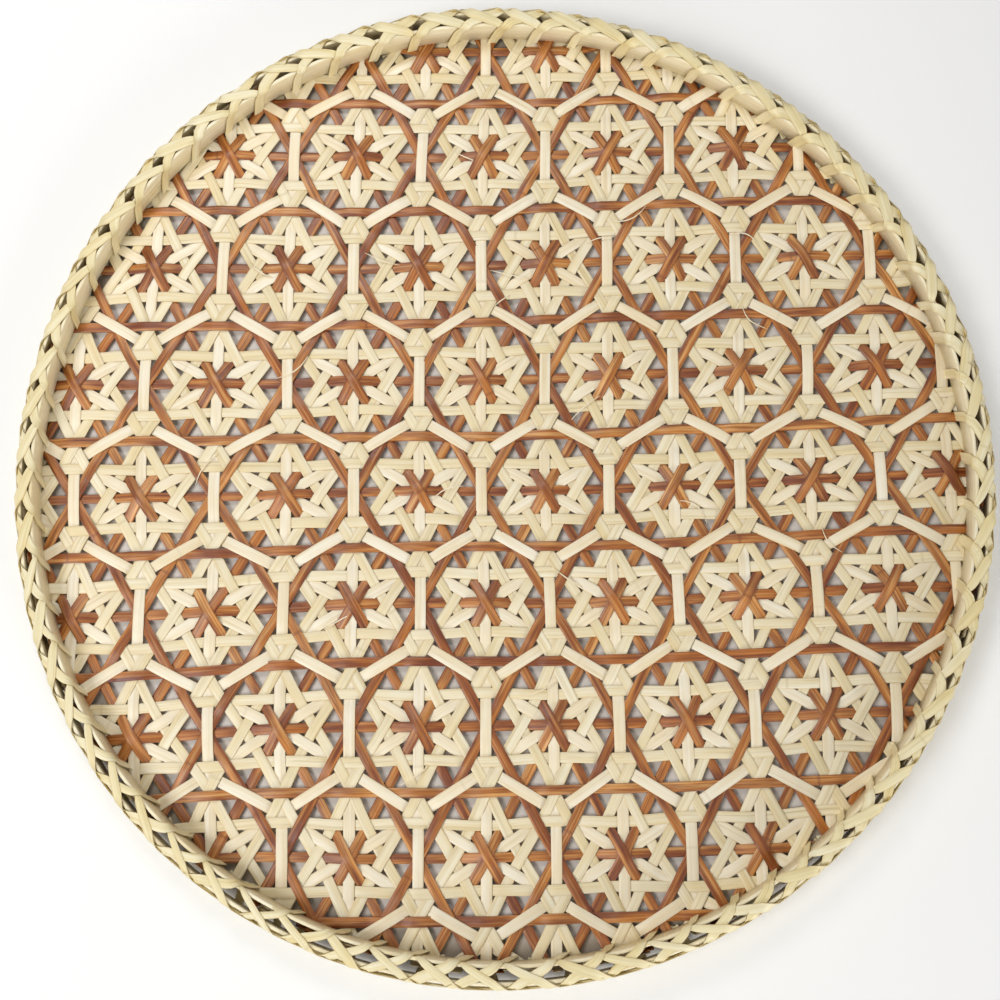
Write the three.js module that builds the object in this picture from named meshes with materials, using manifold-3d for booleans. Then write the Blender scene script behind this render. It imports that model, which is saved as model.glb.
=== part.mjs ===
// A round, shallow woven bamboo tray. A flat six-way star weave lies inside an outer hoop, an inner hoop
// stands on its edge and makes the low wall, and two crossing lacing strands are folded over both hoops.
// Millimetres, +Z up. The origin is the middle of the underside. Seen from above, +Y points away from
// the viewer and +X to the right.
import * as THREE from "three";
import { mergeVertices } from "three/addons/utils/BufferGeometryUtils.js";
import Module from "manifold-3d";

// Driving dimensions of the rim
const OUTER_HOOP_RADIUS = 198.2;
const OUTER_HOOP_THICKNESS = 2.3;
const OUTER_HOOP_HEIGHT = 14.6;
const INNER_HOOP_THICKNESS = 2.3;
const HOOP_GAP = 0.4;
const HOOP_SIDES = 60;
const HOOP_EDGE_ROUNDING = 0.9;

// Driving dimensions of the mat
const STAR_PITCH = 55.2;
const STAR_OFFSET_X = 18.9;
const STAR_OFFSET_Y = -5.6;
const WEAVE_TURN = 1.62;
const ROW_STRETCH = 1.024;
const ROW_LEAN = 0.0205;
const BASE_DIRECTIONS = [0, 60, 120];
const WHITE_DIRECTIONS = [30, 90, 150];
const CREAM_WIDTH = 4.6;
const CREAM_THICKNESS = 0.3;
const BROWN_WIDTH = 4.7;
const WHITE_WIDTH = 4.9;
const INSERTED_THICKNESS = 0.25;
const LAYER_GAP = 0.15;
const CROSSING_CLEARANCE = 0.05;
const MAT_EDGE_CLEARANCE = 0.6;
const HOOP_SEAT_CLEARANCE = 0.3;
const SHORTEST_HALF_STRIP = 45;

// Driving dimensions of the rim lacing
const LACING_STITCHES = 30;
const LACING_WIDTH = 4.4;
const LACING_THICKNESS = 0.45;
const LACING_CLEARANCE = 0.45;
const LACING_SIDE_SHARE = 0.2;
const LACING_INNER_MARGIN = 0.6;
const LACING_OUTER_MARGIN = 3.0;

// Colours
const CREAM = 0xe6dcb4;
const WHITE = 0xf7f0dd;
const BROWN = 0xb0602f;
const HOOP_TAN = 0xd9ca9a;
const LACING_PALE = 0xeee2bd;

const wasm = await Module();
wasm.setup();

const tray = new THREE.Group();

function finish(color, roughness) {
  return new THREE.MeshStandardMaterial({ color, roughness, metalness: 0 });
}

function addPiece(name, geometry, material) {
  const mesh = new THREE.Mesh(geometry, material);
  mesh.name = name;
  tray.add(mesh);
}

// Levels through the thickness of the mat, from the table up. The white strips lie lowest, in three
// touching layers, then the brown star strips, the interlaced cream strips and the brown ring strips.
const REACH_AT_CROSSING = (CREAM_WIDTH / 2) * (1 / Math.sin(Math.PI / 3) + 1 / Math.tan(Math.PI / 3));
const LINE_SPACING = (STAR_PITCH * Math.sqrt(3)) / 4;
const CROSSING_PITCH = LINE_SPACING / Math.sin(Math.PI / 3) / 2;
const CLEAR_THICKNESS = CREAM_THICKNESS + CROSSING_CLEARANCE;
const CREAM_SWING = (1.5 * CLEAR_THICKNESS) / (1 - (2 * REACH_AT_CROSSING) / CROSSING_PITCH);
const SLOPE_LOSS = (CREAM_SWING / CROSSING_PITCH) * REACH_AT_CROSSING;
const LEVEL_PAST_STRAIGHT = CLEAR_THICKNESS + SLOPE_LOSS;
const LEVEL_PAST_EACH_OTHER = CLEAR_THICKNESS / 2 + SLOPE_LOSS;

const WHITE_BOTTOM = 0;
const STAR_BOTTOM = WHITE_BOTTOM + 3 * INSERTED_THICKNESS + LAYER_GAP;
const CREAM_BOTTOM = STAR_BOTTOM + 3 * INSERTED_THICKNESS + LAYER_GAP;
const CREAM_LEVEL = CREAM_BOTTOM + LEVEL_PAST_STRAIGHT + CREAM_THICKNESS / 2;
const RING_BOTTOM = CREAM_LEVEL + LEVEL_PAST_STRAIGHT + CREAM_THICKNESS / 2 + LAYER_GAP;
const MAT_TOP = RING_BOTTOM + 3 * INSERTED_THICKNESS;

const OUTER_HOOP_INNER_RADIUS = OUTER_HOOP_RADIUS - OUTER_HOOP_THICKNESS;
const INNER_HOOP_RADIUS = OUTER_HOOP_INNER_RADIUS - HOOP_GAP;
const INNER_HOOP_INNER_RADIUS = INNER_HOOP_RADIUS - INNER_HOOP_THICKNESS;
const FLAT_OF_HOOP = Math.cos(Math.PI / HOOP_SIDES);
const MAT_RADIUS = OUTER_HOOP_INNER_RADIUS * FLAT_OF_HOOP - MAT_EDGE_CLEARANCE;

// The woven mat lies slightly off true in its hoops, as hand weaving does: this places a point of the
// true star pattern, whose stars are STAR_PITCH apart with one at (0, 0).
const turn = THREE.MathUtils.degToRad(WEAVE_TURN);

function placeInTray(x, y) {
  const rowY = y * ROW_STRETCH;
  const leanX = x + ROW_LEAN * rowY;
  return new THREE.Vector2(
    STAR_OFFSET_X + leanX * Math.cos(turn) - rowY * Math.sin(turn),
    STAR_OFFSET_Y + leanX * Math.sin(turn) + rowY * Math.cos(turn),
  );
}

// One straight line of the pattern: its direction in degrees, and its offset from the star at (0, 0) to
// the left of that direction. The line is given in the tray as a middle point and a unit direction, with
// how far a strip of this width may run either way before a corner reaches the edge of the mat.
function patternLine(degrees, offset, width) {
  const angle = THREE.MathUtils.degToRad(degrees);
  const dirX = Math.cos(angle);
  const dirY = Math.sin(angle);
  const near = placeInTray(-dirY * offset, dirX * offset);
  const far = placeInTray(-dirY * offset + dirX, dirX * offset + dirY);
  const along = far.clone().sub(near).normalize();
  const middle = near.clone().addScaledVector(along, -near.dot(along));
  const outerEdge = middle.length() + width / 2;
  const half = Math.sqrt(Math.max(0, MAT_RADIUS * MAT_RADIUS - outerEdge * outerEdge));
  return { along, middle, half };
}

// All the lines of one direction that are long enough to hold: their offsets are whole steps of spacing
// plus a first offset.
function familyOfLines(degrees, spacing, firstOffset, width) {
  const most = Math.ceil(OUTER_HOOP_RADIUS / spacing) + 2;
  const lines = [];
  for (let k = -most; k <= most; k++) {
    const line = patternLine(degrees, firstOffset + k * spacing, width);
    if (line.half >= SHORTEST_HALF_STRIP) lines.push(line);
  }
  return lines;
}

// How far along a line another line crosses it
function crossingAt(line, other) {
  const between = other.middle.clone().sub(line.middle);
  return between.cross(other.along) / line.along.cross(other.along);
}

// A flat strip of bamboo along a line, as a bar of rectangular section with one ring of four corners at
// each stop. A stop is how far along the line it is, and the height of the strip's middle there.
function stripGeometry(line, width, thickness, stops) {
  const side = new THREE.Vector2(-line.along.y, line.along.x).multiplyScalar(width / 2);
  const points = [];
  for (const stop of stops) {
    const centre = line.middle.clone().addScaledVector(line.along, stop.at);
    const low = stop.height - thickness / 2;
    const high = stop.height + thickness / 2;
    points.push(centre.x - side.x, centre.y - side.y, low);
    points.push(centre.x + side.x, centre.y + side.y, low);
    points.push(centre.x + side.x, centre.y + side.y, high);
    points.push(centre.x - side.x, centre.y - side.y, high);
  }
  return ringChain(points, stops.length, false);
}

// A solid through rings of four corners each, closed on itself or capped at its two ends
function ringChain(points, ringCount, closed) {
  const faces = [];
  const spans = closed ? ringCount : ringCount - 1;
  for (let r = 0; r < spans; r++) {
    const here = 4 * r;
    const next = 4 * ((r + 1) % ringCount);
    for (let c = 0; c < 4; c++) {
      const d = (c + 1) % 4;
      faces.push(here + c, next + d, next + c);
      faces.push(here + c, here + d, next + d);
    }
  }
  if (!closed) {
    const last = 4 * (ringCount - 1);
    faces.push(0, 2, 1, 0, 3, 2);
    faces.push(last, last + 1, last + 2, last, last + 2, last + 3);
  }
  const geometry = new THREE.BufferGeometry();
  geometry.setAttribute("position", new THREE.Float32BufferAttribute(points, 3));
  geometry.setIndex(faces);
  return outwards(geometry);
}

// Turns a closed surface's faces round where they point in
function outwards(geometry) {
  const p = geometry.getAttribute("position");
  const index = geometry.getIndex().array;
  const a = new THREE.Vector3();
  const b = new THREE.Vector3();
  const c = new THREE.Vector3();
  let volume = 0;
  for (let i = 0; i < index.length; i += 3) {
    a.fromBufferAttribute(p, index[i]);
    b.fromBufferAttribute(p, index[i + 1]);
    c.fromBufferAttribute(p, index[i + 2]);
    volume += a.dot(b.cross(c));
  }
  if (volume < 0) {
    for (let i = 0; i < index.length; i += 3) [index[i + 1], index[i + 2]] = [index[i + 2], index[i + 1]];
  }
  geometry.computeVertexNormals();
  return geometry;
}

function levelStops(line, height) {
  return [
    { at: -line.half, height },
    { at: line.half, height },
  ];
}

// The cream base weave. The strips at 0 degrees lie straight. Those at 60 degrees pass under them and
// over the ones at 120 degrees, and those at 120 degrees pass over the straight ones, so every strip goes
// over all of one direction and under all of the other, which locks the open weave.
function undulatingStops(line, straightDegrees, otherDegrees, sign) {
  const passes = [];
  const most = Math.ceil((2 * OUTER_HOOP_RADIUS) / LINE_SPACING);
  for (let k = -most; k <= most; k++) {
    const offset = (k + 0.5) * LINE_SPACING;
    const straight = patternLine(straightDegrees, offset, CREAM_WIDTH);
    const other = patternLine(otherDegrees, offset, CREAM_WIDTH);
    passes.push({ at: crossingAt(line, straight), height: CREAM_LEVEL + sign * LEVEL_PAST_STRAIGHT });
    passes.push({ at: crossingAt(line, other), height: CREAM_LEVEL - sign * LEVEL_PAST_EACH_OTHER });
  }
  passes.sort((p, q) => p.at - q.at);
  return cutToLength(passes, line.half);
}

// Keeps the passes within a strip's length and adds its two ends, at the heights that its slopes give
function cutToLength(passes, half) {
  const inside = passes.filter((p) => Math.abs(p.at) < half - CREAM_THICKNESS);
  return [endStop(passes, -half), ...inside, endStop(passes, half)];
}

function endStop(passes, at) {
  const after = passes.findIndex((p) => p.at > at);
  const from = passes[after - 1];
  const to = passes[after];
  const share = (at - from.at) / (to.at - from.at);
  return { at, height: from.height + share * (to.height - from.height) };
}

const [STRAIGHT, UNDER_STRAIGHT, OVER_STRAIGHT] = BASE_DIRECTIONS;
const creamFinish = finish(CREAM, 0.62);
const creamFamilies = [
  { letter: "a", degrees: STRAIGHT },
  { letter: "b", degrees: UNDER_STRAIGHT, straight: STRAIGHT, other: OVER_STRAIGHT, sign: -1 },
  { letter: "c", degrees: OVER_STRAIGHT, straight: STRAIGHT, other: UNDER_STRAIGHT, sign: 1 },
];
for (const family of creamFamilies) {
  const lines = familyOfLines(family.degrees, LINE_SPACING, LINE_SPACING / 2, CREAM_WIDTH);
  lines.forEach((line, i) => {
    const stops = family.sign
      ? undulatingStops(line, family.straight, family.other, family.sign)
      : levelStops(line, CREAM_LEVEL);
    const number = String(i + 1).padStart(2, "0");
    const geometry = stripGeometry(line, CREAM_WIDTH, CREAM_THICKNESS, stops);
    addPiece(`cream_strip_${family.letter}${number}`, geometry, creamFinish);
  });
}

// The strips that are slipped into the base weave lie in three touching layers, one for each direction,
// and each kind is joined into one body where its own strips cross and touch.
function solidOf(geometry) {
  const bare = geometry.clone();
  bare.deleteAttribute("normal");
  bare.deleteAttribute("uv");
  const merged = mergeVertices(bare);
  return new wasm.Manifold(
    new wasm.Mesh({
      numProp: 3,
      vertProperties: merged.getAttribute("position").array,
      triVerts: new Uint32Array(merged.getIndex().array),
    }),
  );
}

function geometryOf(solid) {
  const mesh = solid.getMesh();
  const geometry = new THREE.BufferGeometry();
  geometry.setAttribute("position", new THREE.BufferAttribute(mesh.vertProperties, 3));
  geometry.setIndex(new THREE.BufferAttribute(mesh.triVerts, 1));
  geometry.computeVertexNormals();
  return geometry;
}

function layeredStrips(directions, spacing, firstOffset, width, bottom) {
  let joined = null;
  directions.forEach((degrees, layer) => {
    const height = bottom + (layer + 0.5) * INSERTED_THICKNESS;
    for (const line of familyOfLines(degrees, spacing, firstOffset, width)) {
      const stops = levelStops(line, height);
      const strip = solidOf(stripGeometry(line, width, INSERTED_THICKNESS, stops));
      joined = joined ? joined.add(strip) : strip;
    }
  });
  return geometryOf(joined);
}

addPiece(
  "white_strips",
  layeredStrips([...WHITE_DIRECTIONS].reverse(), STAR_PITCH / 2, 0, WHITE_WIDTH, WHITE_BOTTOM),
  finish(WHITE, 0.55),
);
addPiece(
  "brown_star_strips",
  layeredStrips(BASE_DIRECTIONS, 2 * LINE_SPACING, 0, BROWN_WIDTH, STAR_BOTTOM),
  finish(BROWN, 0.5),
);
addPiece(
  "brown_ring_strips",
  layeredStrips([...BASE_DIRECTIONS].reverse(), 2 * LINE_SPACING, LINE_SPACING, BROWN_WIDTH, RING_BOTTOM),
  finish(BROWN, 0.5),
);

// The two hoops are bent bamboo bands whose top edge is softened on the side that a hand meets. The inner
// one stands on the mat's edge.
const INNER_HOOP_BOTTOM = MAT_TOP + HOOP_SEAT_CLEARANCE;

function hoop(innerRadius, outerRadius, bottom, top, softOutside) {
  const r = HOOP_EDGE_ROUNDING;
  const topEdge = softOutside
    ? [[outerRadius, top - r], [outerRadius - r, top], [innerRadius, top]]
    : [[outerRadius, top], [innerRadius + r, top], [innerRadius, top - r]];
  const corners = [[innerRadius, bottom], [outerRadius, bottom], ...topEdge, [innerRadius, bottom]];
  const profile = corners.map(([radius, height]) => new THREE.Vector2(radius, height));
  const lathe = new THREE.LatheGeometry(profile, HOOP_SIDES);
  lathe.rotateX(Math.PI / 2);
  lathe.deleteAttribute("normal");
  lathe.deleteAttribute("uv");
  return outwards(mergeVertices(lathe, 1e-3));
}

const hoopFinish = finish(HOOP_TAN, 0.5);
addPiece(
  "outer_hoop",
  hoop(OUTER_HOOP_INNER_RADIUS, OUTER_HOOP_RADIUS, 0, OUTER_HOOP_HEIGHT, true),
  hoopFinish,
);
addPiece(
  "inner_hoop",
  hoop(INNER_HOOP_INNER_RADIUS, INNER_HOOP_RADIUS, INNER_HOOP_BOTTOM, OUTER_HOOP_HEIGHT, false),
  hoopFinish,
);

// The rim lacing: a flat strand folded to and fro over the tops of both hoops. It is worked out on the
// section of the rim unrolled flat: q runs up the inner face, over the top and down the outer face.
const LACING_BOTTOM_INSIDE = INNER_HOOP_BOTTOM + LACING_INNER_MARGIN;
const LACING_BOTTOM_OUTSIDE = LACING_OUTER_MARGIN;
const STITCH_ANGLE = (2 * Math.PI) / LACING_STITCHES;
const HALF_LACING_ANGLE = LACING_WIDTH / 2 / OUTER_HOOP_RADIUS;

// A corner of the strand: which face of the rim it is on, its angle round the tray, and how far it stands
// off the hoops.
function lacingCorner(place, angle, standOff) {
  const corners = {
    insideLow: [INNER_HOOP_INNER_RADIUS - standOff, LACING_BOTTOM_INSIDE],
    insideHigh: [INNER_HOOP_INNER_RADIUS - standOff, LACING_BOTTOM_INSIDE + LACING_WIDTH],
    innerTop: [INNER_HOOP_INNER_RADIUS - standOff, OUTER_HOOP_HEIGHT + standOff],
    outerTop: [OUTER_HOOP_RADIUS + standOff, OUTER_HOOP_HEIGHT + standOff],
    outsideHigh: [OUTER_HOOP_RADIUS + standOff, LACING_BOTTOM_OUTSIDE + LACING_WIDTH],
    outsideLow: [OUTER_HOOP_RADIUS + standOff, LACING_BOTTOM_OUTSIDE],
  };
  const [radius, height] = corners[place];
  return [radius * Math.cos(angle), radius * Math.sin(angle), height];
}

// Each ring of the strand has a left and a right edge, looking along it. Up the inside, over, down the
// outside, and back again makes one stitch.
function lacingStrand(startAngle, clearance) {
  const near = clearance;
  const far = clearance + LACING_THICKNESS;
  const limb = STITCH_ANGLE / 2;
  const side = limb * LACING_SIDE_SHARE;
  const h = HALF_LACING_ANGLE;
  const points = [];
  const ring = (leftPlace, leftAngle, rightPlace, rightAngle) => {
    points.push(...lacingCorner(leftPlace, leftAngle, near));
    points.push(...lacingCorner(rightPlace, rightAngle, near));
    points.push(...lacingCorner(rightPlace, rightAngle, far));
    points.push(...lacingCorner(leftPlace, leftAngle, far));
  };
  for (let s = 0; s < LACING_STITCHES; s++) {
    const low = startAngle + s * STITCH_ANGLE;
    const high = low + limb;
    ring("insideHigh", low, "insideLow", low);
    ring("innerTop", low + side - h, "innerTop", low + side + h);
    ring("outerTop", high - side - h, "outerTop", high - side + h);
    ring("outsideLow", high, "outsideHigh", high);
    ring("outerTop", high + side + h, "outerTop", high + side - h);
    ring("innerTop", low + STITCH_ANGLE - side + h, "innerTop", low + STITCH_ANGLE - side - h);
  }
  return ringChain(points, 6 * LACING_STITCHES, true);
}

const lacingFinish = finish(LACING_PALE, 0.6);
const SECOND_STRAND_CLEARANCE = LACING_CLEARANCE + LACING_THICKNESS + LACING_CLEARANCE;
addPiece("rim_lacing_under", lacingStrand(0, LACING_CLEARANCE), lacingFinish);
addPiece("rim_lacing_over", lacingStrand(STITCH_ANGLE / 2, SECOND_STRAND_CLEARANCE), lacingFinish);

export default tray;
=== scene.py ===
"""A round, shallow woven bamboo tray: an open star weave of cream, white and brown strips, two bent hoops
and a laced rim. Metres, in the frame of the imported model, with the tray standing on z = 0."""

import math

import bmesh
import bpy
import numpy as np
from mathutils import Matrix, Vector


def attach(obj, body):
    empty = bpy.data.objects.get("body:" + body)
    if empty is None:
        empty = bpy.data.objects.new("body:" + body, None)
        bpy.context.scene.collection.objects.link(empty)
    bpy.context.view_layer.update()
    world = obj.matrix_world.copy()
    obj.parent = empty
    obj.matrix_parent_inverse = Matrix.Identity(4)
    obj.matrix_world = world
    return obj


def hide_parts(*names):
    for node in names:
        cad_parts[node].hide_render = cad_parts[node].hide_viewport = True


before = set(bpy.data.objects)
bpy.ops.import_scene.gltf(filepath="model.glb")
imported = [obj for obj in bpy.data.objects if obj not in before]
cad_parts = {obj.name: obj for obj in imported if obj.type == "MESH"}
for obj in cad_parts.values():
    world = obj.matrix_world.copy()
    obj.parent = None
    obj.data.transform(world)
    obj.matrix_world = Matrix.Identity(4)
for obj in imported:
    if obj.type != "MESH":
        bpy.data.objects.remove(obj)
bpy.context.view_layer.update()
random = np.random.default_rng(7)

MM = 0.001

# Camera, as the photograph was taken: place, tilt in degrees, focal length and sensor in lens
# millimetres, and the nearest and furthest that it sees in metres
CAMERA_PLACE = (-3.36 * MM, -113.75 * MM, 557.42 * MM)
CAMERA_TILT = (10.407, -0.181, 0.0)
CAMERA_LENS = 49.015
CAMERA_SENSOR = 36.0
CAMERA_REACH = (0.01, 20.0)

# The star pattern, as in the frame: stars a pitch apart, the mat slightly off true in its hoops
STAR_PITCH = 55.185 * MM
STAR_OFFSET = (18.63 * MM, -6.22 * MM)
WEAVE_TURN = math.radians(1.62)
ROW_STRETCH = 1.0239
ROW_LEAN = 0.0205
LINE_SPACING = STAR_PITCH * math.sqrt(3) / 4
CREAM_FROM_STAR = LINE_SPACING / 2 + 0.38 * MM
CREAM_SWAY = 0.5 * MM
ROW_SPACING = math.sqrt(3) / 2
MAT_RADIUS = 194.6 * MM
SHORTEST_HALF_STRIP = 30 * MM

# How far hand work strays from the pattern: a line's place, and a strip's width as a share
LINE_STRAY = 0.22 * MM
WIDTH_STRAY = 0.03

# Strips
CREAM_WIDTH = 4.2 * MM
WHITE_WIDTH = 4.45 * MM
STAR_BROWN_WIDTH = 4.05 * MM
RING_BROWN_WIDTH = 3.95 * MM
STRIP_THICKNESS = 0.32 * MM
STRIP_SPACING = 0.46 * MM
STRIP_STEP = 1.6 * MM
STRIP_COLUMNS = 4
STRIP_CAMBER = 0.07 * MM
MAT_MIDDLE = 2.4 * MM

KINDS = {
    "cream": {
        "directions": (0, 60, 120),
        "spacing": 2 * LINE_SPACING,
        "lines": (CREAM_FROM_STAR, -CREAM_FROM_STAR),
        "width": CREAM_WIDTH,
    },
    "star": {
        "directions": (0, 60, 120),
        "spacing": 2 * LINE_SPACING,
        "lines": (0.0,),
        "width": STAR_BROWN_WIDTH,
    },
    "ring": {
        "directions": (0, 60, 120),
        "spacing": 2 * LINE_SPACING,
        "lines": (LINE_SPACING,),
        "width": RING_BROWN_WIDTH,
    },
    "white": {
        "directions": (30, 90, 150),
        "spacing": STAR_PITCH / 2,
        "lines": (0.0,),
        "width": WHITE_WIDTH,
    },
}


def linear(red, green, blue):
    """A colour given as it looks on screen, 0 to 255, as the linear colour that shaders take."""
    parts = []
    for value in (red, green, blue):
        share = value / 255
        parts.append(share / 12.92 if share <= 0.04045 else ((share + 0.055) / 1.055) ** 2.4)
    return (*parts, 1.0)


# Places in the pattern


def place_in_tray(point):
    """A point of the true star pattern, with a star at (0, 0), as it lies in the tray."""
    x, y = point
    row = y * ROW_STRETCH
    lean = x + ROW_LEAN * row
    cos, sin = math.cos(WEAVE_TURN), math.sin(WEAVE_TURN)
    return np.array([STAR_OFFSET[0] + lean * cos - row * sin, STAR_OFFSET[1] + lean * sin + row * cos])


PATTERN_AXES = [place_in_tray(axis) - place_in_tray((0, 0)) for axis in ((1, 0), (0, 1))]
TRAY_TO_PATTERN = np.linalg.inv(np.array(PATTERN_AXES).T)


def places_in_pattern(points):
    """Points of the tray as they lie in the true star pattern, a row for each."""
    return (np.asarray(points) - np.array(STAR_OFFSET)) @ TRAY_TO_PATTERN.T


# How far each star of the woven mat lies from its true place: column, row, and shift in millimetres
STAR_SHIFTS = (
    (-3, 4, 4.9, 0.8), (-2, 4, 0.9, -0.2), (-4, 3, 1.8, 4.4), (-3, 3, 1.7, 1.3), (-2, 3, 1.3, 0.1),
    (-1, 3, -0.4, 0.2), (0, 3, -0.5, 1.6), (-4, 2, -1.7, 1.8), (-3, 2, 0.4, -0.6), (-2, 2, 0.9, -0.9),
    (-1, 2, -0.2, -0.4), (0, 2, -2.1, -0.1), (1, 2, 0.3, -0.5), (-4, 1, -5.6, -0.8), (-3, 1, -1.0, -1.5),
    (-2, 1, 1.5, -1.7), (-1, 1, -0.1, -3.4), (0, 1, -2.0, -2.0), (1, 1, -1.7, -2.0), (2, 1, 1.1, -0.8),
    (-3, 0, -4.1, 0.3), (-2, 0, 1.6, -0.5), (-1, 0, 1.4, -0.0), (0, 0, -2.1, -2.0), (1, 0, -3.2, -1.2),
    (2, 0, -2.1, -0.2), (3, 0, 1.4, 1.7), (-3, -1, -1.9, -0.5), (-2, -1, -0.8, 0.5), (-1, -1, 2.0, 2.6),
    (0, -1, 1.4, 1.6), (1, -1, -1.9, 0.3), (2, -1, -2.9, 1.4), (3, -1, 1.5, 3.6), (-2, -2, -3.8, -1.1),
    (-1, -2, 0.9, 2.4), (0, -2, 1.0, 1.2), (1, -2, 0.7, 0.6), (2, -2, -1.3, 0.5), (3, -2, 0.5, 1.9),
    (-1, -3, 3.2, 1.4), (0, -3, 1.8, -0.9), (1, -3, 1.6, -2.1), (2, -3, -0.3, -2.1), (3, -3, -0.3, -1.9),
)
SHIFT_REACH = 42 * MM
SHIFT_EASE = 0.25

TRUE_STARS = np.array(
    [
        place_in_tray(((column + row / 2) * STAR_PITCH, row * STAR_PITCH * ROW_SPACING))
        for column, row, *_ in STAR_SHIFTS
    ]
)


def nearness(points):
    """How near each point lies to each star, from 1 at the star to 0 far from it."""
    gaps = points[:, None, :] - TRUE_STARS[None, :, :]
    return np.exp(-(gaps**2).sum(axis=2) / (2 * SHIFT_REACH**2))


STAR_PULLS = np.linalg.solve(
    nearness(TRUE_STARS) + SHIFT_EASE * np.eye(len(TRUE_STARS)),
    np.array([shift[2:] for shift in STAR_SHIFTS]) * MM,
)


def as_woven(points):
    """Points of the even mat, moved smoothly to where the hand-woven mat has them."""
    return points + nearness(points) @ STAR_PULLS


def cream_sway(points, direction):
    """How far a cream strip bends to its left at points along it: away from each star, and back in towards
    the knots between the stars."""
    angle = math.radians(direction)
    places = places_in_pattern(points)
    along = places @ np.array([math.cos(angle), math.sin(angle)])
    left = places @ np.array([-math.sin(angle), math.cos(angle)])
    row = np.round(left / (2 * LINE_SPACING))
    side = np.sign(left - row * 2 * LINE_SPACING)
    return -CREAM_SWAY * side * np.cos(math.tau * (along / STAR_PITCH - row / 2))


# How high the mat rises at a star's middle, how wide the rise is, and where it fades out before the rim
STAR_DOME = 1.7 * MM
DOME_REACH = 4.6 * MM
DOME_EDGE = 190 * MM
DOME_FADE = 8 * MM


def star_dome(points):
    """How far the mat rises at points round a star's middle, where most strips lie over each other."""
    x, y = places_in_pattern(points).T / STAR_PITCH
    low_row = np.floor(y / ROW_SPACING)
    reach = np.full(len(points), np.inf)
    for row in (low_row, low_row + 1):
        across = x - row / 2
        across = across - np.round(across)
        reach = np.minimum(reach, np.hypot(across, y - row * ROW_SPACING))
    fade = np.clip((DOME_EDGE - np.linalg.norm(points, axis=1)) / DOME_FADE, 0, 1)
    return STAR_DOME * fade * np.exp(-((reach * STAR_PITCH / DOME_REACH) ** 2) / 2)


def nearest_star(point):
    """The star nearest to a point of the tray: how far off its centre is, in star pitches, and its column
    and row."""
    x, y = places_in_pattern(point) / STAR_PITCH
    low_row = math.floor(y / ROW_SPACING)
    best = (math.inf, 0, 0)
    for row in (low_row, low_row + 1):
        low_column = math.floor(x - row / 2)
        for column in (low_column, low_column + 1):
            best = min(best, (math.hypot(x - column - row / 2, y - row * ROW_SPACING), column, row))
    return best


class Strip:
    """One straight strip of the mat: where it lies, and its height at each step along it."""

    def __init__(self, kind, direction, offset):
        angle = math.radians(direction)
        left = np.array([-math.sin(angle), math.cos(angle)]) * (offset + random.normal(0, LINE_STRAY))
        ahead = np.array([math.cos(angle), math.sin(angle)])
        near, far = place_in_tray(left), place_in_tray(left + ahead)
        self.kind, self.direction = kind, direction
        self.along = (far - near) / np.linalg.norm(far - near)
        self.side = np.array([-self.along[1], self.along[0]])
        self.middle = near - self.along * (near @ self.along)
        self.width = KINDS[kind]["width"] * (1 + random.normal(0, WIDTH_STRAY))
        reach = np.linalg.norm(self.middle) + self.width / 2
        self.half = math.sqrt(max(0.0, MAT_RADIUS**2 - reach**2))
        self.count = max(2, int(2 * self.half / STRIP_STEP) + 1)
        self.tone = random.random()


def make_strips():
    """All the strips of the mat that are long enough to be held by the rim."""
    strips = []
    for kind, facts in KINDS.items():
        most = int(MAT_RADIUS / facts["spacing"]) + 3
        for direction in facts["directions"]:
            for k in range(-most, most + 1):
                for line in facts["lines"]:
                    strip = Strip(kind, direction, line + k * facts["spacing"])
                    if strip.half >= SHORTEST_HALF_STRIP:
                        strips.append(strip)
    return strips


# Which strip goes over. Directions are in degrees, a higher rank lies over a lower one, and the reaches
# are distances from a star's centre in star pitches. The usual star has its left-leaning brown strip on
# top, and the stars where column + row is 1 or 2 have the right-leaning one there.

OVER_IN_BASE = {(0, 60), (60, 120), (120, 0)}
USUAL_STAR_RANK = {0: 0, 60: 1, 120: 2}
OTHER_STAR_RANK = {0: 0, 60: 2, 120: 1}
OTHER_STARS = (1, 2)
WHITE_RANK = {150: 0, 30: 1, 90: 2}
PETAL_REACH = 0.30
EDGE_REACH = 0.465


def goes_over(one, other, point):
    """True if strip one lies over strip other where they cross."""
    kinds = (one.kind, other.kind)
    reach, column, row = nearest_star(point)
    if kinds in (("cream", "cream"), ("ring", "ring")):
        return (one.direction, other.direction) in OVER_IN_BASE
    if kinds == ("star", "star"):
        rank = OTHER_STAR_RANK if column + row in OTHER_STARS else USUAL_STAR_RANK
        return rank[one.direction] > rank[other.direction]
    if kinds == ("white", "white"):
        return WHITE_RANK[one.direction] > WHITE_RANK[other.direction]
    if kinds == ("cream", "star"):
        return True
    if kinds in (("cream", "ring"), ("star", "ring")):
        return False
    if kinds == ("cream", "white"):
        return reach > PETAL_REACH
    if kinds == ("star", "white"):
        return reach < PETAL_REACH
    if kinds == ("ring", "white"):
        return reach < EDGE_REACH
    return not goes_over(other, one, point)


# Crossings: how much of a strip's width presses on the other, as its thin edges give a little, the points
# that press, the least sine of the angle between strips that cross, and how far past an end still counts
PRESSING_SHARE = 0.85
PRESSING_POINTS = ((0, 0), (1, 1), (1, -1), (-1, 1), (-1, -1))
SMALLEST_TURN = 0.2
PAST_END = 3 * MM


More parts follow.
